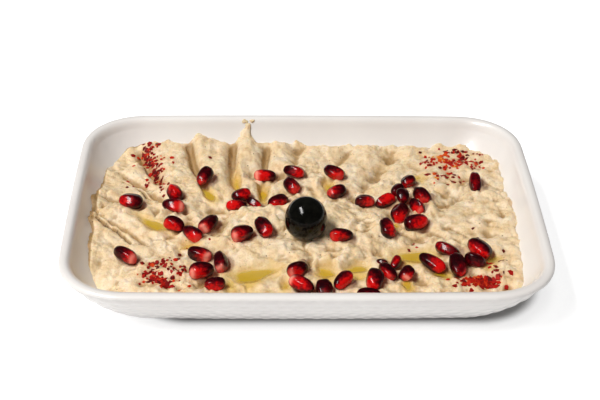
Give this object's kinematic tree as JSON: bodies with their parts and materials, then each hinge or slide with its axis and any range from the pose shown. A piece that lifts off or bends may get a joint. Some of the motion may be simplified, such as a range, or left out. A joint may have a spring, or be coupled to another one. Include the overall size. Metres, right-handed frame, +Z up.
{
  "type": "baba ganoush in a dish",
  "caption": "Rectangular white dish of baba ganoush with a spoon-stroked top, dressed with pomegranate arils, a black olive, pools of olive oil and red pepper flakes.",
  "frame": {"origin": "centre of the dish's underside, on the surface it stands on", "axes": "+X along the dish, +Y from its front wall to its back wall, +Z up"},
  "size_m": [0.2174, 0.1564, 0.0409],
  "materials": {
    "porcelain": "white glaze over a woven relief",
    "aubergine_dip": "moist cream-coloured paste",
    "olive_skin": "glossy black skin",
    "aril_flesh": "wet red juice sacs",
    "olive_oil": "clear yellow oil",
    "red_pepper": "dried red flakes"
  },
  "bodies": {
    "root": {"dish": "porcelain", "baba_ganoush": "aubergine_dip", "olive": "olive_skin", "oil_left": "olive_oil", "oil_groove_left": "olive_oil", "oil_groove_middle": "olive_oil", "oil_front_left": "olive_oil", "oil_front_middle": "olive_oil", "oil_front_right": "olive_oil", "oil_right": "olive_oil", "aril_back_left_1": "aril_flesh", "aril_back_left_2": "aril_flesh", "aril_back_left_3": "aril_flesh", "aril_back_left_4": "aril_flesh", "aril_back_left_5": "aril_flesh", "aril_back_left_6": "aril_flesh", "aril_back_left_7": "aril_flesh", "aril_behind_mound_1": "aril_flesh", "aril_behind_mound_2": "aril_flesh", "aril_behind_mound_3": "aril_flesh", "aril_behind_mound_4": "aril_flesh", "aril_behind_mound_5": "aril_flesh", "aril_behind_mound_6": "aril_flesh", "aril_behind_mound_7": "aril_flesh", "aril_back_right_1": "aril_flesh", "aril_back_right_2": "aril_flesh", "aril_back_right_3": "aril_flesh", "aril_back_right_4": "aril_flesh", "aril_back_right_5": "aril_flesh", "aril_back_right_6": "aril_flesh", "aril_back_right_7": "aril_flesh", "aril_back_right_8": "aril_flesh", "aril_back_right_9": "aril_flesh", "aril_back_right_10": "aril_flesh", "aril_middle_1": "aril_flesh", "aril_middle_2": "aril_flesh", "aril_middle_3": "aril_flesh", "aril_middle_4": "aril_flesh", "aril_middle_5": "aril_flesh", "aril_middle_6": "aril_flesh", "aril_front_left_1": "aril_flesh", "aril_front_left_2": "aril_flesh", "aril_front_left_3": "aril_flesh", "aril_front_left_4": "aril_flesh", "aril_front_left_5": "aril_flesh", "aril_front_left_6": "aril_flesh", "aril_front_left_7": "aril_flesh", "aril_front_left_8": "aril_flesh", "aril_front_right_1": "aril_flesh", "aril_front_right_2": "aril_flesh", "aril_front_right_3": "aril_flesh", "aril_front_right_4": "aril_flesh", "aril_front_right_5": "aril_flesh", "aril_front_right_6": "aril_flesh", "aril_front_right_7": "aril_flesh", "aril_front_right_8": "aril_flesh", "aril_front_right_9": "aril_flesh", "aril_front_right_10": "aril_flesh", "aril_front_right_11": "aril_flesh", "aril_front_right_12": "aril_flesh"}
  },
  "joints": []
}
